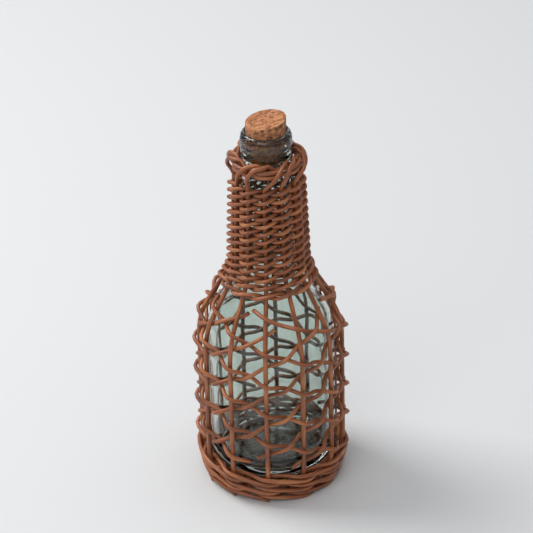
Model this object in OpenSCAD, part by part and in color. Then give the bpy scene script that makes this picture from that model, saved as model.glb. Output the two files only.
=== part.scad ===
/* [Glass bottle] */
// Outside radius of the glass body
glass_r = 38.5; // [36:0.5:42]
// Outside radius of the glass at the foot of the neck
glass_neck_r = 16.8; // [16:0.2:18]
// Thickness of the glass wall
glass_wall = 2.8; // [2:0.2:3.6]
// Thickness of the glass over the push-up in the bottom
glass_floor = 5; // [3:0.5:7]
// Outside radius of the rounded heel of the glass
heel_r = 13; // [12:0.5:14]
// Depth of the push-up under the glass
punt_h = 2.6; // [2:0.2:5]
// Height of the glass rim above the table
rim_z = 236; // [232:0.5:242]
// Outside radius of the two rounded rings of the mouth
mouth_r = 15.4; // [15:0.1:16.4]

/* [Cork] */
// Diameter of the cork at its top
cork_d = 24; // [22.4:0.2:24.6]
// Diameter of the cork at its lower end
cork_tip_d = 22.3; // [21:0.1:22.3]
// Whole length of the cork
cork_len = 29; // [24:0.5:34]
// Length of the cork that stands out of the mouth
cork_out = 7; // [5:0.5:12]
// Slant of the hand-cut top of the cork, in degrees
cork_slant = 9; // [0:0.5:12]
// Clearance round the cork in the mouth
cork_gap = 0.15; // [0.1:0.01:0.3]

/* [Cane] */
// Diameter of the upright stakes on the body
stake_d = 3.1; // [2.8:0.05:3.2]
// Diameter of the stakes where they have tapered, on the neck
stake_top_d = 2.6; // [2.3:0.05:2.7]
// Diameter of the slanting lattice rods
lattice_d = 2.5; // [2.2:0.05:2.6]
// Diameter of the two rods twined round the neck
weaver_d = 2.25; // [2:0.05:2.3]
// Diameter of the stake ends laid into the border
border_d = 2.5; // [2.2:0.05:2.5]
// Diameter of the rods of the foot band
wale_d = 2.5; // [2.2:0.05:2.6]
// Diameter of the crossed sticks under the bottle
stick_d = 3; // [2.6:0.05:3.1]
// Diameter of the rods twined round the crossed sticks
tie_d = 2; // [1.8:0.05:2.1]
// Clearance between rods that pass each other
weave_gap = 0.2; // [0.15:0.01:0.3]
// Clearance between the glass and the rods nearest to it
glass_gap = 0.4; // [0.35:0.05:0.6]

/* [Shape of the basket] */
// Height at which the stakes begin to lean in for the shoulder
shoulder_z = 97; // [88:1:100]
// Bend radius of the stakes over the shoulder
shoulder_bend = 46; // [40:1:50]
// Lean of the shoulder from upright, in degrees
shoulder_lean = 30; // [27:0.5:33]
// Bend radius of the stakes at the foot of the neck
neck_bend = 18; // [14:1:24]
// Lean of the neck from upright, in degrees
neck_lean = 2.2; // [1.6:0.1:2.6]
// Height below which the stakes lean in towards the foot
lean_z = 30; // [26:1:34]
// Bend radius of that lean
lean_bend = 80; // [70:1:100]
// Bend radius of the stakes where they turn in under the bottle
tuck_bend = 3.6; // [3.2:0.1:4.2]
// Azimuth of the first stake, seen from the front
first_stake = -4.6; // [-10:0.2:10]

/* [Weave] */
// Rise of a shoulder-high lattice rod from stake to stake, to the right
climb = 12.25; // [12.25]
// Drop of a lattice rod of the other set from stake to stake
drop = 8.75; // [8.75]
// Height of the crossing of a falling rod and the first stake
fall_start = 45.3; // [43:0.1:48]
// Rise of the twined pair in one turn round the neck
neck_pitch = 5.05; // [5.05:0.05:5.4]
// Number of turns of the twined pair
neck_turns = 14; // [12:1:14]
// How far the turns tip up at the front, at the top of the neck
neck_tip = 2.5; // [0:0.1:3]
// Height of the lower rods of the border
border_z = 215.2; // [214.4:0.2:215.4]
// Distance between the three rounds of the foot band
wale_pitch = 7.2; // [7.1:0.1:7.6]

/* [Hidden] */
STAKES = 12;
STEP = 360 / STAKES;
FALLING = 5;
CLIMBING = 7;
cane = [0.67, 0.39, 0.24];
cane_dark = [0.55, 0.31, 0.19];
cork_tone = [0.66, 0.43, 0.28];
glass_tone = [0.72, 0.78, 0.76, 0.35];

// Offsets of the rods from the middle of a stake, along the wall's normal
glass_off = stake_d / 2 + weave_gap + lattice_d + glass_gap;
body_r = glass_r + glass_off;
lattice_in = stake_d / 2 + weave_gap + lattice_d / 2;
lattice_out = lattice_in + 0.3;
lattice_cross = (lattice_d + weave_gap) / 2 * 1.38;
weaver_in = stake_top_d / 2 + weave_gap + weaver_d / 2 + 0.25;
weaver_out = weaver_in + 0.1;
weaver_mid = 0.3;
weaver_lift = weaver_d / 2 + 0.17;
wale_in = stake_d / 2 + weave_gap + wale_d / 2;
wale_out = wale_in + 0.3;
wale_mid = -0.8;
wale_lift = 1.9;
wale_part = 1.75;

// The line of a stake up the wall, by the length s measured along it
neck_low_r = glass_neck_r + glass_off;
s1 = shoulder_z;
s2 = s1 + shoulder_bend * shoulder_lean * PI / 180;
r2 = body_r - shoulder_bend * (1 - cos(shoulder_lean));
z2 = s1 + shoulder_bend * sin(shoulder_lean);
slope_len = (r2 - neck_low_r - neck_bend * (cos(neck_lean) - cos(shoulder_lean))) / sin(shoulder_lean);
s3 = s2 + slope_len;
r3 = r2 - slope_len * sin(shoulder_lean);
z3 = z2 + slope_len * cos(shoulder_lean);
s4 = s3 + neck_bend * (shoulder_lean - neck_lean) * PI / 180;
z4 = z3 + neck_bend * (sin(shoulder_lean) - sin(neck_lean));
function arc_deg(len, r) = len / r * 180 / PI;
// [radius, height, lean of the wall's normal above the level] at length s
function stake_line(s) =
  s < lean_z ? let (a = arc_deg(lean_z - s, lean_bend))
    [body_r - lean_bend * (1 - cos(a)), lean_z - lean_bend * sin(a), -a]
  : s < s1 ? [body_r, s, 0]
  : s < s2 ? let (a = arc_deg(s - s1, shoulder_bend))
    [body_r - shoulder_bend * (1 - cos(a)), s1 + shoulder_bend * sin(a), a]
  : s < s3 ? [r2 - (s - s2) * sin(shoulder_lean), z2 + (s - s2) * cos(shoulder_lean), shoulder_lean]
  : s < s4 ? let (a = shoulder_lean - arc_deg(s - s3, neck_bend))
    [r3 - neck_bend * (cos(a) - cos(shoulder_lean)),
     z3 + neck_bend * (sin(shoulder_lean) - sin(a)), a]
  : [neck_low_r - (s - s4) * sin(neck_lean), z4 + (s - s4) * cos(neck_lean), neck_lean];
// Radius and height at length s, moved out by d along the normal
function wall(s, d) = let (p = stake_line(s)) [p[0] + d * cos(p[2]), p[1] + d * sin(p[2])];
// Azimuth a is 0 at the front and grows to the right
function at(a, r, z) = [r * sin(a), -r * cos(a), z];
function on_wall(a, s, d) = let (p = wall(s, d)) at(a, p[0], p[1]);
function stake_a(u) = first_stake + STEP * u;
function even(n) = n % 2 == 0;

// The bend that turns a stake in under the bottle: its middle and the height of the tail
tuck_top = 8;
tuck_a = arc_deg(lean_z - tuck_top, lean_bend);
tuck_r = stake_line(tuck_top)[0];
tuck_h = stake_line(tuck_top)[1];
tuck_mid_r = tuck_r - tuck_bend * cos(tuck_a);
tuck_mid_z = tuck_h + tuck_bend * sin(tuck_a);
tuck_z = tuck_mid_z - tuck_bend;

// A rod: a closed tube of some sides along a list of points
function unit(v) = v / norm(v);
function way(p, i) =
  i == 0 ? unit(p[1] - p[0])
  : i == len(p) - 1 ? unit(p[i] - p[i - 1])
  : unit(unit(p[i + 1] - p[i]) + unit(p[i] - p[i - 1]));
// A section's first point looks away from the axis (up = 0), upwards (1) or out and down (-1)
function ring(p, i, r, sides, turn, up) =
  let (t = way(p, i),
       ref = up > 0 ? [0, 0, 1] : unit([p[i][0], p[i][1], 0]) + [0, 0, up],
       n = unit(ref - (ref * t) * t),
       b = cross(t, n))
  [for (k = [0:sides - 1]) let (q = 360 * k / sides + turn) p[i] + r * (cos(q) * n + sin(q) * b)];
module rod(p, r, sides, turn = 0, up = 0, tip_r = undef) {
  last = len(p) - 1;
  end_r = is_undef(tip_r) ? r : tip_r;
  polyhedron(
    points = [for (i = [0:last]) each ring(p, i, r + (end_r - r) * i / last, sides, turn, up)],
    faces = concat(
      [[for (k = [0:sides - 1]) k]],
      [[for (k = [sides - 1:-1:0]) last * sides + k]],
      [for (i = [0:last - 1], k = [0:sides - 1])
        let (a = i * sides + k, b = i * sides + (k + 1) % sides)
        each [[a, a + sides, b + sides], [a, b + sides, b]]]));
}

// The glass: one thick moulded wall turned about the bottle's axis
glass_z = tuck_z + stick_d / 2 + weave_gap + tie_d + 0.9;
heel_z = glass_z + heel_r;
neck_top_z = rim_z - 20.5;
neck_top_s = s4 + (neck_top_z - z4) / cos(neck_lean);
neck_top_r = wall(neck_top_s, -glass_off)[0];
function cork_at(z) = let (low = rim_z + cork_out - cork_len)
  (cork_tip_d + (cork_d - cork_tip_d) * (z - low) / cork_len) / 2;
bore_z = rim_z + cork_out - cork_len - 2;
function curve(s_from, s_to, d, n) = [for (i = [0:n]) wall(s_from + (s_to - s_from) * i / n, d)];
function skin(d) = concat(
  curve(s1, s2, d, 7), [wall(s3, d)], curve(s3, s4, d, 4));
function bump(r_in, r_out, z_low, z_high, n) =
  [for (i = [0:n]) let (a = 180 * i / n) [r_in + (r_out - r_in) * sin(a), z_low + (z_high - z_low) * i / n]];
module glass_bottle() {
  inner_off = -glass_off - glass_wall;
  heel_mid = glass_r - heel_r;
  inner_r = glass_r - glass_wall;
  floor_z = glass_z + punt_h + glass_floor;
  inner_heel = heel_r + 2;
  outside = concat(
    [[0, glass_z + punt_h], [heel_mid * 0.35, glass_z + punt_h * 0.9], [heel_mid * 0.7, glass_z + punt_h * 0.35],
     [heel_mid - 3, glass_z]],
    [for (a = [0:15:90]) [heel_mid + heel_r * sin(a), heel_z - heel_r * cos(a)]],
    skin(-glass_off),
    [[neck_top_r, neck_top_z]],
    bump(neck_top_r + 0.2, mouth_r + 0.2, neck_top_z + 0.6, rim_z - 15, 6),
    bump(mouth_r - 0.7, mouth_r - 0.2, rim_z - 14.6, rim_z - 10.6, 6),
    [[mouth_r - 0.6, rim_z - 10.2], [mouth_r - 0.1, rim_z - 9.4], [mouth_r, rim_z - 8.6],
     [mouth_r, rim_z - 4.6], [mouth_r - 0.3, rim_z - 2.8], [mouth_r - 1, rim_z - 1.2],
     [mouth_r - 1.9, rim_z - 0.3], [mouth_r - 2.5, rim_z]]);
  inside = concat(
    [[cork_at(rim_z) + cork_gap + 0.4, rim_z], [cork_at(rim_z) + cork_gap, rim_z - 0.6],
     [cork_at(bore_z) + cork_gap, bore_z]],
    reverse(skin(inner_off)),
    [for (a = [90:-15:0]) [inner_r - inner_heel + inner_heel * sin(a), floor_z - 1 + inner_heel - inner_heel * cos(a)]],
    [[0, floor_z]]);
  color(glass_tone) rotate_extrude($fn = 96) polygon(concat(outside, inside));
}
function reverse(v) = [for (i = [len(v) - 1:-1:0]) v[i]];

// The cork: a tapered stopper with a slanting top
module cork_stopper() {
  low = rim_z + cork_out - cork_len;
  rise = cork_d / 2 * tan(cork_slant);
  color(cork_tone) difference() {
    translate([0, 0, low])
      cylinder(h = cork_len + rise, d1 = cork_tip_d, d2 = cork_d + (cork_d - cork_tip_d) * rise / cork_len, $fn = 64);
    translate([0, 0, low + cork_len]) rotate([0, -cork_slant, 0])
      translate([-cork_d, -cork_d, 0]) cube([2 * cork_d, 2 * cork_d, 4 * rise + 1]);
  }
}

// A stake: turns in under the bottle, climbs the wall, and is bent over into the border
tail_in = 28.5;
neck_s = 139.3;
border_s = neck_s + neck_pitch * neck_turns;
rise_r = wall(border_s, 0)[0];
rise_z = wall(border_s, 0)[1];
border_in = mouth_r + 0.2 + glass_gap + border_d / 2;
border_mid = border_in + border_d + weave_gap + 0.05;
border_out = border_mid + border_d + weave_gap;
border_low = border_z;
border_row = border_d + weave_gap + 0.45;
border_top = border_z + border_row + border_d + weave_gap + 0.2;
// Azimuth from the first stake of a pair, radius and height of the bent-over end of a stake
function border_way(k) = k == 0
  ? [[0, rise_r, rise_z - 1.5], [1, rise_r, rise_z + 2], [8, rise_r + 1.3, border_low - 4.7], [15, border_out, border_low - 1.2],
     [21, border_out, border_low + 2.4], [28, border_mid + 1.4, border_top - 0.6], [34, border_mid - 0.4, border_top],
     [48, border_in, border_top], [68, border_in, border_low], [98, border_in, border_low],
     [112, border_mid, border_low], [131, border_mid, border_low], [150, border_mid, border_low]]
  : [[STEP, rise_r, rise_z - 1.5], [STEP, rise_r, rise_z + 2], [30.5, rise_r + 1.5, border_low - 4.7], [33, border_out, border_low - 1.2],
     [38, border_out, border_low + 2.4], [45, border_mid + 1.4, border_top - 0.6], [56, border_mid - 0.2, border_top],
     [68, border_in, border_top], [80, border_in, border_low + border_row], [98, border_in, border_low + border_row],
     [112, border_mid, border_low + border_row], [131, border_mid, border_low + border_row],
     [150, border_mid, border_low + border_row]];
function tuck_point(i, q) =
  at(stake_a(i), tuck_mid_r + tuck_bend * cos(q), tuck_mid_z + tuck_bend * sin(q));
module stake(i) {
  k = i % 2;
  wall_s = concat([tuck_top, (tuck_top + lean_z) / 2, lean_z],
    [for (n = [0:5]) s1 + (s2 - s1) * n / 5], [s3, (s3 + s4) / 2, s4]);
  end = border_way(k);
  color(cane) rod(concat(
    [at(stake_a(i), tail_in, tuck_z), tuck_point(i, -90), tuck_point(i, -60), tuck_point(i, -35)],
    [for (s = wall_s) on_wall(stake_a(i), s, 0)],
    [for (n = [0:len(end) - 1]) at(stake_a(i - k) + end[n][0], end[n][1], end[n][2])]),
    stake_d / 2, 5, 0, -1, border_d / 2);
}

// The neck: two rods that change places between every two stakes
function tip(a, s) = neck_tip * cos(a) * max(0, (s - neck_s) / (neck_pitch * neck_turns));
function pair_point(u, side) =
  let (a = stake_a(u),
       s0 = neck_s + neck_pitch * (u - 6) / STAKES,
       s = s0 + tip(a, s0),
       n = round(2 * u),
       front = even(n / 2 + side))
  even(n) ? on_wall(a, s, front ? weaver_out : -weaver_in)
  : on_wall(a, s + (even((n - 1) / 2 + side) ? weaver_lift : -weaver_lift), weaver_mid);
module neck_weaver(side) color(cane)
  rod([for (n = [12:1:12 + 2 * STAKES * neck_turns]) pair_point(n / 2, side)], weaver_d / 2, 4, 45);

// The lattice: falling rods pass in front of the stakes, climbing rods behind them
lattice_low = 25.8;
lattice_high = 131;
function fall_s(j, u) = fall_start + (drop + climb) * j - drop * u;
function climb_s(j, u) = fall_start - (drop + climb) / 2 + (drop + climb) * j + climb * u;
module falling_rod(j) {
  u0 = ceil((fall_start + (drop + climb) * j - lattice_high) / drop);
  u1 = floor((fall_start + (drop + climb) * j - lattice_low) / drop);
  color(cane) rod([for (n = [2 * u0 - 1:1:2 * u1 + 1]) let (u = n / 2)
    on_wall(stake_a(u), fall_s(j, u), even(n) ? lattice_out : -lattice_cross)], lattice_d / 2, 5);
}
module climbing_rod(j) {
  base = fall_start - (drop + climb) / 2 + (drop + climb) * j;
  u0 = ceil((lattice_low - base) / climb);
  u1 = floor((lattice_high - base) / climb);
  ends = [2 * u0 - 0.6, 2 * u1 + 0.6];
  steps = concat([ends[0]], [for (n = [2 * u0:1:2 * u1]) n], [ends[1]]);
  color(cane_dark) rod([for (n = steps) let (u = n / 2, mid = n % 2 != 0 && n == floor(n))
    on_wall(stake_a(u), climb_s(j, u), mid ? lattice_cross : -lattice_in)], lattice_d / 2, 5);
}

// The foot band: rounds of three rods, each before two stakes and behind one
foot_z = wale_d / 2 * cos(30);
function wale_point(u, k, row) =
  let (a = stake_a(u),
       phase = ((u - k) % 3 + 3) % 3,
       s = foot_z + wale_lift + wale_pitch * row)
  phase == 0 ? on_wall(a, s + wale_lift, wale_out)
  : phase == 1 ? on_wall(a, s - wale_lift, wale_out)
  : phase == 1.5 ? on_wall(a, s - wale_part, wale_mid)
  : phase == 2 ? on_wall(a, s, -wale_in)
  : on_wall(a, s + wale_part, wale_mid);
module band_rod(n) {
  row = n < 3 ? 1 : 2;
  k = n % 3;
  color(cane) rod([for (h = [-2:1:2 * STAKES - 3]) let (u = k + h / 2, phase = ((h / 2) % 3 + 3) % 3)
    if (phase != 0.5) wale_point(u, k, row)], wale_d / 2, 5, 54);
}
foot_out = tuck_mid_r + tuck_bend + 1;
function foot_point(u, k) =
  let (a = stake_a(u), phase = ((u - k) % 3 + 3) % 3)
  phase == 0 ? at(a, foot_out + 1.3, foot_z + 2 * wale_lift)
  : phase == 1 ? at(a, foot_out, foot_z)
  : phase == 1.5 ? at(a, foot_out - 2.8, foot_z)
  : phase == 1.75 ? at(a, foot_out - 3.3, foot_z)
  : phase == 2 ? at(a, foot_out - 3.7, foot_z)
  : at(a, foot_out - 3.1, foot_z + 3.5);
module foot_rod(k) color(cane_dark)
  rod([for (h = [-4:1:4 * STAKES - 7]) let (u = k + h / 4, phase = ((h / 4) % 3 + 3) % 3)
    if (phase == 0 || phase == 1 || phase == 1.5 || phase == 1.75 || phase == 2 || phase == 2.5)
      foot_point(u, k)], wale_d / 2, 6);

// The base: six crossed sticks, opened out like spokes, with pairs of rods twined round them
stick_turn = 8;
stick_out = 37.5;
cross_r = 8;
function stick_side(n) = n - 1;
module base_stick(n) {
  group = floor(n / 3);
  side = (n % 3) - 1;
  lift = group * (stick_d + weave_gap);
  apart = side * (stick_d + weave_gap);
  spread = side * STEP;
  turn = stake_a(0) - stick_turn + group * 90;
  near = 17;
  function spoke(a, r, z) = [r * cos(a), r * sin(a), z];
  ends = [spoke(spread, stick_out, tuck_z), spoke(spread, near, tuck_z), [cross_r, apart, tuck_z + lift]];
  mirrored = [for (p = ends) [-p[0], p[1], p[2]]];
  line = concat(ends, reverse(mirrored));
  color(cane_dark) rotate([0, 0, turn - 90]) rod(line, stick_d / 2, 6, 0, 1);
}
tie_off = stick_d / 2 + weave_gap + tie_d / 2 + 0.2;
tie_r = 17.6;
tie_pitch = 4.3;
module base_weaver(side) color(cane_dark)
  rod([for (n = [0:1:4 * STAKES]) let (u = n / 2, a = stake_a(u) - stick_turn, r = tie_r + tie_pitch * u / STAKES)
    even(n) ? at(a, r, tuck_z + (even(n / 2 + side) ? tie_off : -tie_off))
    : at(a, r + (even((n - 1) / 2 + side) ? 1 : -1) * (tie_d / 2 + 0.15), tuck_z)], tie_d / 2, 5, 18, 1);
binder_r = 32.5;
binder_off = tie_off + 0.8;
module base_binder(side) color(cane)
  rod([for (n = [0:1:2 * STAKES - 1]) let (u = n / 2, a = stake_a(u) - stick_turn / 2)
    even(n) ? at(a, binder_r, tuck_z + (even(n / 2 + side) ? binder_off : -binder_off))
    : at(a, binder_r + (even((n - 1) / 2 + side) ? 1 : -1) * (tie_d / 2 + 0.15), tuck_z)],
    tie_d / 2, 5, 18, 1);

glass_bottle();
cork_stopper();
stake(0);  // stake_01
stake(1);  // stake_02
stake(2);  // stake_03
stake(3);  // stake_04
stake(4);  // stake_05
stake(5);  // stake_06
stake(6);  // stake_07
stake(7);  // stake_08
stake(8);  // stake_09
stake(9);  // stake_10
stake(10);  // stake_11
stake(11);  // stake_12
falling_rod(0);  // falling_rod_1
falling_rod(1);  // falling_rod_2
falling_rod(2);  // falling_rod_3
falling_rod(3);  // falling_rod_4
falling_rod(4);  // falling_rod_5
climbing_rod(0);  // climbing_rod_1
climbing_rod(1);  // climbing_rod_2
climbing_rod(2);  // climbing_rod_3
climbing_rod(3);  // climbing_rod_4
climbing_rod(4);  // climbing_rod_5
climbing_rod(5);  // climbing_rod_6
climbing_rod(6);  // climbing_rod_7
neck_weaver(0);  // neck_weaver_a
neck_weaver(1);  // neck_weaver_b
foot_rod(0);  // foot_rod_1
foot_rod(1);  // foot_rod_2
foot_rod(2);  // foot_rod_3
band_rod(0);  // band_rod_1
band_rod(1);  // band_rod_2
band_rod(2);  // band_rod_3
band_rod(3);  // band_rod_4
band_rod(4);  // band_rod_5
band_rod(5);  // band_rod_6
base_stick(0);  // base_stick_1
base_stick(1);  // base_stick_2
base_stick(2);  // base_stick_3
base_stick(3);  // base_stick_4
base_stick(4);  // base_stick_5
base_stick(5);  // base_stick_6
base_weaver(0);  // base_weaver_a
base_weaver(1);  // base_weaver_b
base_binder(0);  // base_binder_a
base_binder(1);  // base_binder_b
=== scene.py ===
"""A cane-covered glass bottle with a cork, on a pale floor in soft studio light."""

import logging
import math
from dataclasses import dataclass
from enum import Enum
from typing import Callable, Sequence

import bpy
from mathutils import Matrix, Vector


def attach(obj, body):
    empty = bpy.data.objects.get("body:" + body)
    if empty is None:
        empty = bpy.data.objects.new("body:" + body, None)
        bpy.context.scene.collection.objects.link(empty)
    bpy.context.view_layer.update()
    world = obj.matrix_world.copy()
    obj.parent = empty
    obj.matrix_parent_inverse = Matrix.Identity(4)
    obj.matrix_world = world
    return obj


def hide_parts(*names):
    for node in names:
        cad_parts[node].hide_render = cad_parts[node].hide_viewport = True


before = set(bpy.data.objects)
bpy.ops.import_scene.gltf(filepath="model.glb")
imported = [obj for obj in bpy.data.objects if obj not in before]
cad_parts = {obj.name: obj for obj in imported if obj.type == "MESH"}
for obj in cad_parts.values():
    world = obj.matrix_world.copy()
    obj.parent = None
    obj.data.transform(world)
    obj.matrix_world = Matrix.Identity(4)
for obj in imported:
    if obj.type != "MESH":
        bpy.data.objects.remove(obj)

LOG = logging.getLogger("bottle")
MM = 0.001
Point = tuple[float, float, float]


class Body(Enum):
    """The bodies that pieces ride on."""

    BOTTLE = "bottle"
    STOPPER = "stopper"


def linear(hex_code: str) -> tuple[float, float, float, float]:
    """Turns an sRGB hex colour to the linear values that shaders take.

    Args:
        hex_code: Six hex digits.

    Returns:
        Linear red, green, blue and an alpha of 1.
    """
    parts = [int(hex_code[i : i + 2], 16) / 255 for i in (0, 2, 4)]
    flat = [p / 12.92 if p <= 0.04045 else ((p + 0.055) / 1.055) ** 2.4 for p in parts]
    return flat[0], flat[1], flat[2], 1.0


def add_node(
    tree: bpy.types.NodeTree, kind: str, inputs: dict | None = None, **settings: object
) -> bpy.types.Node:
    """Adds a node with its settings and its inputs.

    Args:
        tree: The node tree.
        kind: The node's type name.
        inputs: Input name or number to a value, or to an output socket to link.
        **settings: Properties of the node.

    Returns:
        The new node.
    """
    node = tree.nodes.new(kind)
    for name, value in settings.items():
        setattr(node, name, value)
    for key, value in (inputs or {}).items():
        if isinstance(value, bpy.types.NodeSocket):
            tree.links.new(value, node.inputs[key])
        else:
            node.inputs[key].default_value = value
    return node


def new_material(name: str) -> tuple[bpy.types.Material, bpy.types.NodeTree]:
    """Makes an empty node material.

    Args:
        name: The material's name.

    Returns:
        The material and its cleared node tree.
    """
    material = bpy.data.materials.new(name)
    material.use_nodes = True
    material.node_tree.nodes.clear()
    return material, material.node_tree


def ramp(
    tree: bpy.types.NodeTree, factor: bpy.types.NodeSocket, stops: Sequence[tuple[float, str]]
) -> bpy.types.NodeSocket:
    """Adds a colour ramp.

    Args:
        tree: The node tree.
        factor: The socket that picks the colour.
        stops: Places from 0 to 1 with their hex colours.

    Returns:
        The colour output.
    """
    node = add_node(tree, "ShaderNodeValToRGB", {"Fac": factor})
    elements = node.color_ramp.elements
    while len(elements) < len(stops):
        elements.new(0.5)
    for element, (place, colour) in zip(elements, stops):
        element.position = place
        element.color = linear(colour)
    return node.outputs["Color"]


@dataclass(frozen=True)
class CaneFinish:
    """Peeled cane, stained brown: fine grain runs along it, with darker and worn, paler patches.

    The scales are in features per metre of length, per turn round the rod, and from rod to rod.
    """

    dark: str = "54301C"
    middle: str = "9A5732"
    pale: str = "C98452"
    streak_scale: Point = (90.0, 9.0, 40.0)
    patch_scale: Point = (42.0, 0.6, 60.0)
    patch_share: float = 0.55
    roughness: float = 0.46
    grain_depth: float = 0.3 * MM

    def build(self, name: str) -> bpy.types.Material:
        """Makes the cane material.

        Args:
            name: The material's name.

        Returns:
            The material.
        """
        material, tree = new_material(name)
        coords = add_node(tree, "ShaderNodeUVMap", uv_map="length_and_turn")
        own = add_node(tree, "ShaderNodeObjectInfo")
        split = add_node(tree, "ShaderNodeSeparateXYZ", {0: coords.outputs["UV"]})
        stretched = add_node(
            tree,
            "ShaderNodeCombineXYZ",
            {0: split.outputs[0], 1: split.outputs[1], 2: own.outputs["Random"]},
        ).outputs[0]
        streaks = add_node(tree, "ShaderNodeMapping", {"Vector": stretched, "Scale": self.streak_scale})
        patches = add_node(tree, "ShaderNodeMapping", {"Vector": stretched, "Scale": self.patch_scale})
        streak = add_node(
            tree,
            "ShaderNodeTexNoise",
            {"Vector": streaks.outputs[0], "Scale": 1.0, "Detail": 4.0},
        ).outputs["Fac"]
        patch = add_node(
            tree,
            "ShaderNodeTexNoise",
            {"Vector": patches.outputs[0], "Scale": 1.0, "Detail": 3.0},
        ).outputs["Fac"]
        mixed = add_node(
            tree, "ShaderNodeMix", {0: self.patch_share, 2: streak, 3: patch}, data_type="FLOAT"
        )
        colour = ramp(
            tree, mixed.outputs[0], [(0.3, self.dark), (0.5, self.middle), (0.7, self.pale)]
        )
        bump = add_node(
            tree,
            "ShaderNodeBump",
            {"Height": streak, "Strength": 0.35, "Distance": self.grain_depth},
        )
        shader = add_node(
            tree,
            "ShaderNodeBsdfPrincipled",
            {
                "Base Color": colour,
                "Roughness": self.roughness,
                "Normal": bump.outputs["Normal"],
                "Coat Weight": 0.15,
            },
        )
        add_node(tree, "ShaderNodeOutputMaterial", {"Surface": shader.outputs[0]})
        return material


@dataclass(frozen=True)
class BottleGlass:
    """Moulded soda-lime glass: clear, faintly grey-green, with slow waves left by the mould."""

    tint: str = "DCE6E0"
    ior: float = 1.52
    waves_per_m: float = 38.0
    wave_depth: float = 1.0 * MM

    def build(self, name: str) -> bpy.types.Material:
        """Makes the glass material.

        Args:
            name: The material's name.

        Returns:
            The material.
        """
        material, tree = new_material(name)
        place = add_node(tree, "ShaderNodeTexCoord")
        waves = add_node(
            tree,
            "ShaderNodeTexNoise",
            {"Vector": place.outputs["Object"], "Scale": self.waves_per_m, "Detail": 1.0},
        )
        bump = add_node(
            tree,
            "ShaderNodeBump",
            {"Height": waves.outputs["Fac"], "Strength": 0.12, "Distance": self.wave_depth},
        )
        shader = add_node(
            tree,
            "ShaderNodeBsdfPrincipled",
            {
                "Base Color": linear(self.tint),
                "Roughness": 0.02,
                "IOR": self.ior,
                "Transmission Weight": 1.0,
                "Normal": bump.outputs["Normal"],
            },
        )
        add_node(tree, "ShaderNodeOutputMaterial", {"Surface": shader.outputs[0]})
        return material


@dataclass(frozen=True)
class CorkFinish:
    """Agglomerated cork: pressed crumbs a few millimetres wide, matt, with dark pits between them."""

    dark: str = "5E3A22"
    middle: str = "A86B45"
    pale: str = "C68E63"
    crumbs_per_m: float = 480.0
    speck_share: float = 0.6
    pit_depth: float = 0.6 * MM

    def build(self, name: str) -> bpy.types.Material:
        """Makes the cork material.

        Args:
            name: The material's name.

        Returns:
            The material.
        """
        material, tree = new_material(name)
        place = add_node(tree, "ShaderNodeTexCoord")
        crumbs = add_node(
            tree,
            "ShaderNodeTexVoronoi",
            {"Vector": place.outputs["Object"], "Scale": self.crumbs_per_m},
        )
        speck = add_node(
            tree,
            "ShaderNodeTexNoise",
            {"Vector": place.outputs["Object"], "Scale": self.crumbs_per_m * 1.4, "Detail": 5.0},
        )
        grey = add_node(tree, "ShaderNodeSeparateColor", {0: crumbs.outputs["Color"]})
        mixed = add_node(
            tree,
            "ShaderNodeMix",
            {0: self.speck_share, 2: grey.outputs[0], 3: speck.outputs["Fac"]},
            data_type="FLOAT",
        )
        colour = ramp(
            tree, mixed.outputs[0], [(0.25, self.dark), (0.45, self.middle), (0.8, self.pale)]
        )
        bump = add_node(
            tree,
            "ShaderNodeBump",
            {"Height": speck.outputs["Fac"], "Strength": 0.6, "Distance": self.pit_depth},
        )
        shader = add_node(
            tree,
            "ShaderNodeBsdfPrincipled",
            {"Base Color": colour, "Roughness": 0.85, "Normal": bump.outputs["Normal"]},
        )
        add_node(tree, "ShaderNodeOutputMaterial", {"Surface": shader.outputs[0]})
        return material


@dataclass(frozen=True)
class FloorFinish:
    """Matt white paper, lit to a pale grey."""

    colour: str = "D9DADB"

    def build(self, name: str) -> bpy.types.Material:
        """Makes the floor material.

        Args:
            name: The material's name.

        Returns:
            The material.
        """
        material, tree = new_material(name)
        shader = add_node(
            tree,
            "ShaderNodeBsdfPrincipled",
            {"Base Color": linear(self.colour), "Roughness": 0.9},
        )
        add_node(tree, "ShaderNodeOutputMaterial", {"Surface": shader.outputs[0]})
        return material


def link_mesh(
    name: str, points: list[Point], faces: list[Sequence[int]], smooth: bool = True
) -> bpy.types.Object:
    """Makes an object from points in millimetres and faces.

    Args:
        name: The object's name.
        points: Points in millimetres.
        faces: Faces as point numbers.
        smooth: Whether the faces are shaded smooth.

    Returns:
        The new object.
    """
    mesh = bpy.data.meshes.new(name)
    mesh.from_pydata([tuple(c * MM for c in p) for p in points], [], faces)
    mesh.update()
    # An end face has many corners and stays flat
    for polygon in mesh.polygons:
        polygon.use_smooth = smooth and len(polygon.vertices) < 5
    thing = bpy.data.objects.new(name, mesh)
    bpy.context.scene.collection.objects.link(thing)
    return thing


def smooth_line(points: list[Vector], parts: int) -> list[Vector]:
    """Runs a smooth curve through points.

    Args:
        points: The points that the curve passes through.
        parts: Parts between two points.

    Returns:
        The curve's points.
    """
    line: list[Vector] = []
    for i in range(len(points) - 1):
        a = points[max(i - 1, 0)]
        b, c = points[i], points[i + 1]
        d = points[min(i + 2, len(points) - 1)]
        for k in range(parts):
            t = k / parts
            curve = (2 * a - 5 * b + 4 * c - d) * t * t + (3 * b - a - 3 * c + d) * t**3
            line.append(0.5 * (2 * b + (c - a) * t + curve))
    line.append(points[-1])
    return line


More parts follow.
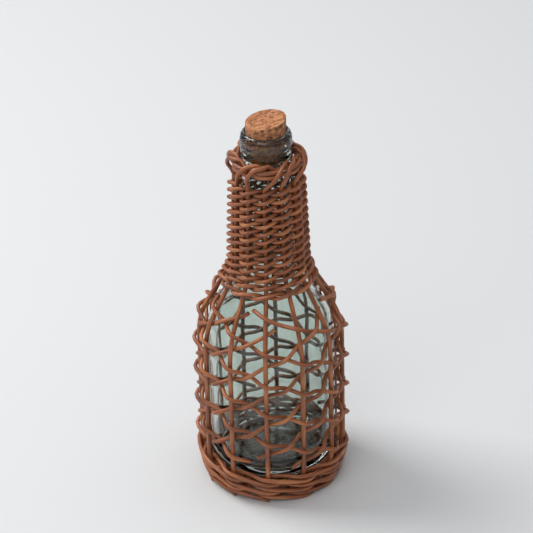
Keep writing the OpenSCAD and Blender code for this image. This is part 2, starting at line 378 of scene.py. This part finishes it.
def rod(
    name: str, points: list[Vector], radius: Callable[[float], float], sides: int = 10
) -> bpy.types.Object:
    """Makes a round rod along a line, with its length and turn as texture coordinates.

    Args:
        name: The object's name.
        points: The middle line, in millimetres.
        radius: Gives the radius for a place along the rod from 0 to 1.
        sides: Points in each ring.

    Returns:
        The new object.
    """
    last = len(points) - 1
    ways = [(points[min(i + 1, last)] - points[max(i - 1, 0)]).normalized() for i in range(last + 1)]
    normal = ways[0].orthogonal().normalized()
    verts: list[Point] = []
    lengths = [0.0]
    for i in range(last + 1):
        normal = (normal - normal.dot(ways[i]) * ways[i]).normalized()
        side = ways[i].cross(normal)
        if i:
            lengths.append(lengths[-1] + (points[i] - points[i - 1]).length * MM)
        for k in range(sides):
            q = math.tau * k / sides
            place = points[i] + radius(i / last) * (math.cos(q) * normal + math.sin(q) * side)
            verts.append((place.x, place.y, place.z))
    faces: list[Sequence[int]] = [list(range(sides))[::-1], [last * sides + k for k in range(sides)]]
    for i in range(last):
        for k in range(sides):
            m = (k + 1) % sides
            low, high = i * sides, (i + 1) * sides
            faces.append((low + k, low + m, high + m, high + k))
    thing = link_mesh(name, verts, faces)
    layer = thing.data.uv_layers.new(name="length_and_turn")
    for polygon in thing.data.polygons:
        for loop in polygon.loop_indices:
            vertex = thing.data.loops[loop].vertex_index
            layer.data[loop].uv = (lengths[vertex // sides], (vertex % sides) / sides)
    return thing


def dress(thing: bpy.types.Object, material: bpy.types.Material, node: str, body: Body) -> None:
    """Gives a piece its finish and hands it to the frame in place of a node.

    Args:
        thing: The piece.
        material: Its finish.
        node: The node that it stands for.
        body: The body that it rides on.
    """
    thing.data.materials.append(material)
    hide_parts(node)
    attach(thing, body.value)
    LOG.info("built %s", thing.name)


@dataclass(frozen=True)
class Form:
    """The line that the stakes follow over the glass, in millimetres and degrees, as in the part's source."""

    glass_r: float = 38.5
    glass_neck_r: float = 16.8
    stake_d: float = 3.1
    stake_top_d: float = 2.6
    lattice_d: float = 2.5
    gap: float = 0.2
    glass_gap: float = 0.4
    shoulder_z: float = 97.0
    shoulder_bend: float = 46.0
    lean: float = 30.0
    neck_bend: float = 18.0
    neck_lean: float = 2.2
    lean_z: float = 30.0
    lean_bend: float = 80.0
    tuck_bend: float = 3.6
    tuck_top: float = 8.0
    tail_in: float = 28.5
    first_stake: float = -4.6
    stakes: int = 12

    @property
    def glass_off(self) -> float:
        """Distance from the glass to the middle of a stake."""
        return self.stake_d / 2 + self.gap + self.lattice_d + self.glass_gap

    @property
    def body_r(self) -> float:
        """Radius of the stakes' middle line on the body."""
        return self.glass_r + self.glass_off

    @property
    def neck_low_r(self) -> float:
        """Radius of the stakes' middle line at the foot of the neck."""
        return self.glass_neck_r + self.glass_off

    @property
    def marks(self) -> tuple[float, ...]:
        """Works out where the stake's line changes.

        Returns:
            Lengths, radii and heights of the changes: s2, r2, z2, s3, r3, z3, s4, z4.
        """
        low, high = math.radians(self.neck_lean), math.radians(self.lean)
        s2 = self.shoulder_z + self.shoulder_bend * high
        r2 = self.body_r - self.shoulder_bend * (1 - math.cos(high))
        z2 = self.shoulder_z + self.shoulder_bend * math.sin(high)
        bend_in = self.neck_bend * (math.cos(low) - math.cos(high))
        run = (r2 - self.neck_low_r - bend_in) / math.sin(high)
        r3, z3 = r2 - run * math.sin(high), z2 + run * math.cos(high)
        s4 = s2 + run + self.neck_bend * (high - low)
        z4 = z3 + self.neck_bend * (math.sin(high) - math.sin(low))
        return s2, r2, z2, s2 + run, r3, z3, s4, z4

    def line(self, s: float) -> tuple[float, float, float]:
        """Gives the stake's line.

        Args:
            s: Length measured up the line.

        Returns:
            Radius, height and the lean of the wall's normal, in degrees.
        """
        s2, r2, z2, s3, r3, z3, s4, z4 = self.marks
        low, high = math.radians(self.neck_lean), math.radians(self.lean)
        if s < self.lean_z:
            a = (self.lean_z - s) / self.lean_bend
            r = self.body_r - self.lean_bend * (1 - math.cos(a))
            return r, self.lean_z - self.lean_bend * math.sin(a), -math.degrees(a)
        if s < self.shoulder_z:
            return self.body_r, s, 0.0
        if s < s2:
            a = (s - self.shoulder_z) / self.shoulder_bend
            r = self.body_r - self.shoulder_bend * (1 - math.cos(a))
            return r, self.shoulder_z + self.shoulder_bend * math.sin(a), math.degrees(a)
        if s < s3:
            return r2 - (s - s2) * math.sin(high), z2 + (s - s2) * math.cos(high), self.lean
        if s < s4:
            a = high - (s - s3) / self.neck_bend
            r = r3 - self.neck_bend * (math.cos(a) - math.cos(high))
            return r, z3 + self.neck_bend * (math.sin(high) - math.sin(a)), math.degrees(a)
        return self.neck_low_r - (s - s4) * math.sin(low), z4 + (s - s4) * math.cos(low), self.neck_lean

    def wall(self, s: float, out: float) -> tuple[float, float]:
        """Radius and height at length s, moved outwards by out."""
        r, z, lean = self.line(s)
        return r + out * math.cos(math.radians(lean)), z + out * math.sin(math.radians(lean))

    def at(self, azimuth: float, r: float, z: float) -> Vector:
        """The point at an azimuth, 0 at the front and growing to the right."""
        a = math.radians(azimuth)
        return Vector((r * math.sin(a), -r * math.cos(a), z))

    def on_wall(self, azimuth: float, s: float, out: float) -> Vector:
        """The point on the wall at an azimuth."""
        return self.at(azimuth, *self.wall(s, out))

    def stake_a(self, u: float) -> float:
        """Azimuth of stake u, counted from the first."""
        return self.first_stake + 360 / self.stakes * u

    @property
    def tuck(self) -> tuple[float, float]:
        """Finds the middle of the bend that turns a stake in under the bottle.

        Returns:
            Its radius and height.
        """
        r, z, lean = self.line(self.tuck_top)
        a = math.radians(-lean)
        return r - self.tuck_bend * math.cos(a), z + self.tuck_bend * math.sin(a)

    @property
    def level(self) -> float:
        """Height of the middle line of the tails and of the crossed sticks."""
        return self.tuck[1] - self.tuck_bend


FORM = Form()


@dataclass(frozen=True)
class Glass:
    """The glass bottle, turned from one closed outline."""

    wall: float = 2.8
    floor: float = 5.0
    heel: float = 13.0
    inner_heel: float = 15.0
    punt: float = 2.6
    over_sticks: float = 4.6
    rim_z: float = 236.0
    mouth_r: float = 15.4
    mouth_bore_r: float = 11.9
    cork_low_r: float = 11.2
    cork_room: float = 24.0
    finish_h: float = 20.5
    axis_r: float = 0.001
    turns: int = 160

    @property
    def bottom_z(self) -> float:
        """Height of the bottom, over the rods twined round the crossed sticks."""
        return FORM.level + self.over_sticks

    def skin(self, out: float) -> list[tuple[float, float]]:
        """Follows the shoulder and the foot of the neck.

        Args:
            out: Distance outwards from the stakes' middle line.

        Returns:
            Radius and height of each point, upwards.
        """
        s2, s3, s4 = FORM.marks[0], FORM.marks[3], FORM.marks[6]
        first = [FORM.wall(FORM.shoulder_z + (s2 - FORM.shoulder_z) * i / 12, out) for i in range(13)]
        return first + [FORM.wall(s3 + (s4 - s3) * i / 6, out) for i in range(7)]

    def bead(self, r_in: float, r_out: float, drop_in: float, drop_out: float) -> list[tuple[float, float]]:
        """A rounded ring of the mouth.

        Args:
            r_in: Radius where it starts and ends.
            r_out: Its greatest radius.
            drop_in: How far below the rim it starts.
            drop_out: How far below the rim it ends.

        Returns:
            Its points, upwards.
        """
        steps = [math.pi * i / 10 for i in range(11)]
        rise = (drop_in - drop_out) / math.pi
        start = self.rim_z - drop_in
        return [(r_in + (r_out - r_in) * math.sin(a), start + rise * a) for a in steps]

    def outside(self) -> list[tuple[float, float]]:
        """Draws the outside from the push-up to the rim.

        Returns:
            Radius and height of each point.
        """
        _, _, _, _, _, _, s4, z4 = FORM.marks
        low = self.bottom_z
        mid = FORM.glass_r - self.heel
        neck_z = self.rim_z - self.finish_h
        neck_s = s4 + (neck_z - z4) / math.cos(math.radians(FORM.neck_lean))
        neck_r = FORM.wall(neck_s, -FORM.glass_off)[0]
        line = [
            (self.axis_r, low + self.punt),
            (mid * 0.35, low + self.punt * 0.9),
            (mid * 0.7, low + self.punt * 0.35),
            (mid - 3, low),
        ]
        for degrees in range(0, 91, 9):
            a = math.radians(degrees)
            line.append((mid + self.heel * math.sin(a), low + self.heel * (1 - math.cos(a))))
        line += self.skin(-FORM.glass_off) + [(neck_r, neck_z)]
        line += self.bead(neck_r + 0.2, self.mouth_r + 0.2, self.finish_h - 0.6, 15)
        line += self.bead(self.mouth_r - 0.7, self.mouth_r - 0.2, 14.6, 10.6)
        lip = [(0.6, 10.2), (0.1, 9.4), (0.0, 8.6), (0.0, 4.6)]
        lip += [(0.3, 2.8), (1.0, 1.2), (1.9, 0.3), (2.5, 0.0)]
        return line + [(self.mouth_r - inward, self.rim_z - down) for inward, down in lip]

    def inside(self) -> list[tuple[float, float]]:
        """Draws the inside from the rim to the floor.

        Returns:
            Radius and height of each point.
        """
        inner = FORM.glass_r - self.wall
        curve = self.inner_heel
        floor_z = self.bottom_z + self.punt + self.floor
        line = [
            (self.mouth_bore_r + 0.39, self.rim_z),
            (self.mouth_bore_r, self.rim_z - 0.6),
            (self.cork_low_r, self.rim_z - self.cork_room),
        ]
        line += self.skin(-FORM.glass_off - self.wall)[::-1]
        for degrees in range(90, -1, -9):
            a = math.radians(degrees)
            line.append((inner - curve * (1 - math.sin(a)), floor_z - 1 + curve * (1 - math.cos(a))))
        return line + [(self.axis_r, floor_z)]

    def build(self, material: bpy.types.Material) -> None:
        """Builds the bottle.

        Args:
            material: The glass.
        """
        outline = self.outside() + self.inside()
        verts = [
            (r * math.cos(math.tau * k / self.turns), r * math.sin(math.tau * k / self.turns), z)
            for k in range(self.turns)
            for r, z in outline
        ]
        count = len(outline)
        faces: list[Sequence[int]] = []
        for k in range(self.turns):
            after = (k + 1) % self.turns
            for i in range(count - 1):
                here, there = k * count + i, after * count + i
                faces.append((here, there, there + 1, here + 1))
        dress(link_mesh("glass_bottle_look", verts, faces), material, "glass_bottle", Body.BOTTLE)


@dataclass(frozen=True)
class Cork:
    """The cork, a tapered stopper with a slanting top."""

    top_r: float = 12.0
    low_r: float = 11.15
    length: float = 29.0
    out: float = 7.0
    slant: float = 9.0
    sides: int = 72
    rows: int = 24

    def build(self, material: bpy.types.Material) -> None:
        """Builds the cork.

        Args:
            material: The cork's finish.
        """
        base = Glass().rim_z + self.out - self.length
        verts: list[Point] = []
        for i in range(self.rows + 1):
            t = i / self.rows
            r = self.low_r + (self.top_r - self.low_r) * t
            for k in range(self.sides):
                q = math.tau * k / self.sides
                tilt = r * math.cos(q) * math.tan(math.radians(self.slant)) * t
                verts.append((r * math.cos(q), r * math.sin(q), base + self.length * t + tilt))
        top = [self.rows * self.sides + k for k in range(self.sides)]
        faces: list[Sequence[int]] = [list(range(self.sides))[::-1], top]
        for i in range(self.rows):
            for k in range(self.sides):
                m = (k + 1) % self.sides
                row = i * self.sides
                faces.append((row + k, row + m, row + self.sides + m, row + self.sides + k))
        dress(link_mesh("cork_stopper_look", verts, faces), material, "cork_stopper", Body.STOPPER)


@dataclass(frozen=True)
class Basket:
    """The cane cover: stakes and border, lattice, twined neck, foot band and base.

    A rod's places are given as points between which a smooth line runs.
    """

    cane: bpy.types.Material
    weaver_d: float = 2.25
    border_d: float = 2.5
    wale_d: float = 2.5
    stick_d: float = 3.0
    tie_d: float = 2.0
    glass_ring_r: float = 15.6
    rise_steps: int = 60
    border_part: float = 0.25
    falling: int = 5
    climbing: int = 7
    climb: float = 12.25
    drop: float = 8.75
    fall_start: float = 45.3
    lattice_low: float = 25.8
    lattice_high: float = 131.0
    crossing_ease: float = 1.38
    lattice_out: float = 0.3
    lattice_end: float = 0.6
    pitch: float = 5.05
    turns: int = 14
    neck_s: float = 139.3
    neck_tip: float = 2.5
    neck_stake: int = 6
    weaver_in: float = 0.25
    weaver_out: float = 0.1
    weaver_part: float = 0.17
    weaver_mid: float = 0.3
    border_z: float = 215.2
    border_row: float = 3.15
    border_rise: float = 6.05
    wale_lift: float = 1.9
    wale_part: float = 1.75
    wale_mid: float = -0.8
    wale_pitch: float = 7.2
    wale_out: float = 0.3
    foot_out: float = 1.0
    stick_out: float = 37.5
    stick_knee: float = 17.0
    cross_r: float = 8.0
    stick_turn: float = 8.0
    tie_r: float = 17.6
    tie_pitch: float = 4.3
    tie_part: float = 1.15
    tie_ease: float = 0.2
    binder_r: float = 32.5
    binder_ease: float = 0.8

    def add(self, node: str, points: list[Vector], d: float, d_end: float | None = None) -> None:
        """Adds one cane.

        Args:
            node: The node that it stands for.
            points: Points of its middle line.
            d: Its diameter.
            d_end: Its diameter at the far end.
        """
        end = d if d_end is None else d_end
        thing = rod(node + "_look", smooth_line(points, 4), lambda t: (d + (end - d) * t) / 2)
        dress(thing, self.cane, node, Body.BOTTLE)

    def border_way(self, second: bool, rise_r: float, rise_z: float) -> list[Point]:
        """The bent-over end of a stake, first or second of its pair.

        Args:
            second: Whether it is the second stake of the pair.
            rise_r: Radius where the stake leaves the neck.
            rise_z: Height where it leaves the neck.

        Returns:
            Degrees from the pair's first stake, radius and height of each point.
        """
        inner = self.glass_ring_r + FORM.glass_gap + self.border_d / 2
        mid = inner + self.border_d + self.border_part
        outer = mid + self.border_d + FORM.gap
        low = self.border_z
        row, top = low + self.border_row, low + self.border_rise
        if second:
            way = [(30, rise_r, rise_z + 2), (30.5, rise_r + 1.5, low - 4.7), (33, outer, low - 1.2)]
            way += [(38, outer, low + 2.4), (45, mid + 1.4, top - 0.6), (56, mid - 0.2, top)]
            way += [(68, inner, top), (80, inner, row), (98, inner, row)]
            return way + [(112, mid, row), (131, mid, row), (150, mid, row)]
        way = [(1, rise_r, rise_z + 2), (8, rise_r + 1.3, low - 4.7), (15, outer, low - 1.2)]
        way += [(21, outer, low + 2.4), (28, mid + 1.4, top - 0.6), (34, mid - 0.4, top)]
        way += [(48, inner, top), (68, inner, low), (98, inner, low)]
        return way + [(112, mid, low), (131, mid, low), (150, mid, low)]

    def stakes(self) -> None:
        """Builds the stakes with their ends laid in pairs into the border."""
        border_s = self.neck_s + self.pitch * self.turns
        rise_r, rise_z = FORM.wall(border_s, 0)
        tuck_r, tuck_z = FORM.tuck
        bend = FORM.tuck_bend
        for i in range(FORM.stakes):
            a = FORM.stake_a(i)
            line = [FORM.at(a, r, FORM.level) for r in (FORM.tail_in, 31.0, 34.0, tuck_r)]
            for turn in (25, 50):
                q = math.radians(turn)
                line.append(FORM.at(a, tuck_r + bend * math.sin(q), tuck_z - bend * math.cos(q)))
            rise = border_s - FORM.tuck_top
            for k in range(self.rise_steps + 1):
                line.append(FORM.on_wall(a, FORM.tuck_top + rise * k / self.rise_steps, 0))
            first = FORM.stake_a(i - i % 2)
            way = self.border_way(i % 2 == 1, rise_r, rise_z)
            line += [FORM.at(first + along, r, z) for along, r, z in way]
            self.add(f"stake_{i + 1:02d}", line, FORM.stake_d, self.border_d)

    def lattice(self) -> None:
        """Builds the falling rods, before the stakes, and the climbing rods, behind them."""
        inward = FORM.stake_d / 2 + FORM.gap + FORM.lattice_d / 2
        cross = (FORM.lattice_d + FORM.gap) / 2 * self.crossing_ease
        step = self.climb + self.drop
        for j in range(self.falling):
            start = self.fall_start + step * j
            u0 = math.ceil((start - self.lattice_high) / self.drop)
            u1 = math.floor((start - self.lattice_low) / self.drop)
            line = []
            for n in range(2 * u0 - 1, 2 * u1 + 2):
                out = inward + self.lattice_out if n % 2 == 0 else -cross
                line.append(FORM.on_wall(FORM.stake_a(n / 2), start - self.drop * n / 2, out))
            self.add(f"falling_rod_{j + 1}", line, FORM.lattice_d)
        for j in range(self.climbing):
            start = self.fall_start - step / 2 + step * j
            u0 = math.ceil((self.lattice_low - start) / self.climb)
            u1 = math.floor((self.lattice_high - start) / self.climb)
            line = []
            ends = [2 * u0 - self.lattice_end], [2 * u1 + self.lattice_end]
            for n in ends[0] + list(range(2 * u0, 2 * u1 + 1)) + ends[1]:
                out = cross if n % 2 == 1 else -inward
                line.append(FORM.on_wall(FORM.stake_a(n / 2), start + self.climb * n / 2, out))
            self.add(f"climbing_rod_{j + 1}", line, FORM.lattice_d)

    def neck(self) -> None:
        """Builds the pair of rods twined round the neck."""
        inward = FORM.stake_top_d / 2 + FORM.gap + self.weaver_d / 2 + self.weaver_in
        lift = self.weaver_d / 2 + self.weaver_part
        first_half = 2 * self.neck_stake
        for side in (0, 1):
            line = []
            for n in range(first_half, first_half + 2 * FORM.stakes * self.turns + 1):
                a = FORM.stake_a(n / 2)
                s = self.neck_s + self.pitch * (n / 2 - self.neck_stake) / FORM.stakes
                share = max(0.0, (s - self.neck_s) / (self.pitch * self.turns))
                s += self.neck_tip * math.cos(math.radians(a)) * share
                first = (n // 2 + side) % 2 == 0
                if n % 2 == 0:
                    out = inward + self.weaver_out if first else -inward
                    line.append(FORM.on_wall(a, s, out))
                else:
                    line.append(FORM.on_wall(a, s + (lift if first else -lift), self.weaver_mid))
            self.add("neck_weaver_" + "ab"[side], line, self.weaver_d)

    def band(self) -> None:
        """Builds the three rounds of three rods at the foot.

        Each rod takes three spaces to come round to the same place: before two stakes and behind one. The
        ways give, for each part of those three spaces, the move outwards and upwards.
        """
        foot_z = self.wale_d / 2 * math.cos(math.radians(30))
        foot_r = FORM.tuck[0] + FORM.tuck_bend + self.foot_out
        inward = FORM.stake_d / 2 + FORM.gap + self.wale_d / 2
        lift, part, mid = self.wale_lift, self.wale_part, self.wale_mid
        foot_way = {0.0: (1.3, 2 * lift), 1.0: (0, 0), 1.5: (-2.8, 0)}
        foot_way |= {1.75: (-3.3, 0), 2.0: (-3.7, 0), 2.5: (-3.1, 3.5)}
        for k in range(3):
            line = []
            for h in range(-4, 4 * FORM.stakes - 6):
                phase = (h / 4) % 3
                if phase in foot_way:
                    out, up = foot_way[phase]
                    line.append(FORM.at(FORM.stake_a(k + h / 4), foot_r + out, foot_z + up))
            self.add(f"foot_rod_{k + 1}", line, self.wale_d)
        outward = inward + self.wale_out
        way = {0.0: (outward, lift), 1.0: (outward, -lift)}
        way |= {1.5: (mid, -part), 2.0: (-inward, 0), 2.5: (mid, part)}
        for n in range(6):
            s0 = foot_z + lift + self.wale_pitch * (1 + n // 3)
            line = []
            for h in range(-2, 2 * FORM.stakes - 2):
                phase = (h / 2) % 3
                if phase in way:
                    out, up = way[phase]
                    line.append(FORM.on_wall(FORM.stake_a(n % 3 + h / 2), s0 + up, out))
            self.add(f"band_rod_{n + 1}", line, self.wale_d)

    def sticks(self) -> None:
        """Builds the six crossed sticks, opened out like spokes."""
        for n in range(6):
            group, side = n // 3, n % 3 - 1
            apart = self.stick_d + FORM.gap
            turn = math.radians(FORM.stake_a(0) - self.stick_turn + group * 90 - 90)
            spread = math.radians(30 * side)
            ends = [
                (r * math.cos(spread), r * math.sin(spread), FORM.level)
                for r in (self.stick_out, self.stick_knee)
            ]
            ends.append((self.cross_r, side * apart, FORM.level + group * apart))
            flat = ends + [(-x, y, z) for x, y, z in reversed(ends)]
            line = [Matrix.Rotation(turn, 3, "Z") @ Vector(p) for p in flat]
            node = f"base_stick_{n + 1}"
            thing = rod(node + "_look", line, lambda t: self.stick_d / 2)
            dress(thing, self.cane, node, Body.BOTTLE)

    def tie(self, name: str, count: int, turn: float, r: float, pitch: float, off: float) -> None:
        """Builds a pair of rods twined round the sticks.

        Args:
            name: The nodes' name without its letter.
            count: Number of half spaces.
            turn: Degrees that it is turned from the stakes.
            r: Radius where it starts.
            pitch: Growth of the radius in one turn.
            off: How far it passes above and below the sticks.
        """
        for side in (0, 1):
            line = []
            for n in range(count):
                a = FORM.stake_a(n / 2) - turn
                wide = r + pitch * n / 2 / FORM.stakes
                way = 1 if (n // 2 + side) % 2 == 0 else -1
                if n % 2 == 0:
                    line.append(FORM.at(a, wide, FORM.level + way * off))
                else:
                    line.append(FORM.at(a, wide + way * self.tie_part, FORM.level))
            self.add(name + "ab"[side], line, self.tie_d)

    def base(self) -> None:
        """Builds the crossed sticks and the rods twined round them."""
        off = self.stick_d / 2 + FORM.gap + self.tie_d / 2 + self.tie_ease
        self.sticks()
        turn = self.stick_turn
        self.tie("base_weaver_", 4 * FORM.stakes + 1, turn, self.tie_r, self.tie_pitch, off)
        self.tie("base_binder_", 2 * FORM.stakes, turn / 2, self.binder_r, 0, off + self.binder_ease)

    def build(self) -> None:
        """Builds every cane of the cover."""
        self.stakes()
        self.lattice()
        self.neck()
        self.band()
        self.base()


@dataclass(frozen=True)
class Studio:
    """The floor, the lights and the camera."""

    camera_at: Point = (0.0, -1502.14, 1068.57)
    aim: Point = (-1.4424, 0.0, 143.226)
    roll: float = -1.374
    lens: float = 199.9
    sensor: float = 36.0
    floor_half: float = 4000.0
    sky: str = "E4E6E8"
    sky_strength: float = 0.45

    def lamp(self, name: str, place: Point, size: float, watts: float) -> None:
        """Adds a square soft light that faces the bottle.

        Args:
            name: The light's name.
            place: Where it stands, in metres.
            size: Its side, in metres.
            watts: Its power.
        """
        data = bpy.data.lights.new(name, "AREA")
        data.size = size
        data.energy = watts
        thing = bpy.data.objects.new(name, data)
        thing.location = place
        thing.rotation_euler = (Vector((0, 0, 0.1)) - Vector(place)).to_track_quat("-Z", "Y").to_euler()
        bpy.context.scene.collection.objects.link(thing)

    def build(self, paper: bpy.types.Material) -> None:
        """Sets up the scene.

        Args:
            paper: The floor's finish.
        """
        half = self.floor_half
        corners = [(-half, -half, 0), (half, -half, 0), (half, half, 0), (-half, half, 0)]
        floor = link_mesh("floor", corners, [(0, 1, 2, 3)], smooth=False)
        floor.data.materials.append(paper)
        self.lamp("key_left", (-1.1, 0.5, 1.6), 0.9, 26)
        self.lamp("fill_front", (-0.6, -1.6, 1.9), 1.6, 14)
        self.lamp("top", (0.3, 0.3, 2.4), 1.6, 10)
        world = bpy.data.worlds.new("studio")
        world.use_nodes = True
        world.node_tree.nodes["Background"].inputs["Color"].default_value = linear(self.sky)
        world.node_tree.nodes["Background"].inputs["Strength"].default_value = self.sky_strength
        scene = bpy.context.scene
        scene.world = world
        scene.view_settings.view_transform = "Standard"
        data = bpy.data.cameras.new("camera")
        data.lens = self.lens
        data.sensor_width = self.sensor
        camera = bpy.data.objects.new("camera", data)
        place = Vector(self.camera_at) * MM
        ahead = (Vector(self.aim) * MM - place).normalized()
        right = ahead.cross(Vector((0, 0, 1))).normalized()
        up = right.cross(ahead)
        a = math.radians(self.roll)
        across = math.cos(a) * right + math.sin(a) * up
        upright = -math.sin(a) * right + math.cos(a) * up
        turn = Matrix((across, upright, -ahead)).transposed().to_4x4()
        camera.matrix_world = Matrix.Translation(place) @ turn
        scene.collection.objects.link(camera)
        scene.camera = camera


def main() -> None:
    """Builds the bottle, its cover and the studio."""
    logging.basicConfig(level=logging.INFO)
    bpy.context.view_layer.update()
    Glass().build(BottleGlass().build("soda_lime_glass"))
    Cork().build(CorkFinish().build("agglomerated_cork"))
    Basket(CaneFinish().build("stained_cane")).build()
    Studio().build(FloorFinish().build("matt_paper"))


if __name__ == "__main__":
    main()
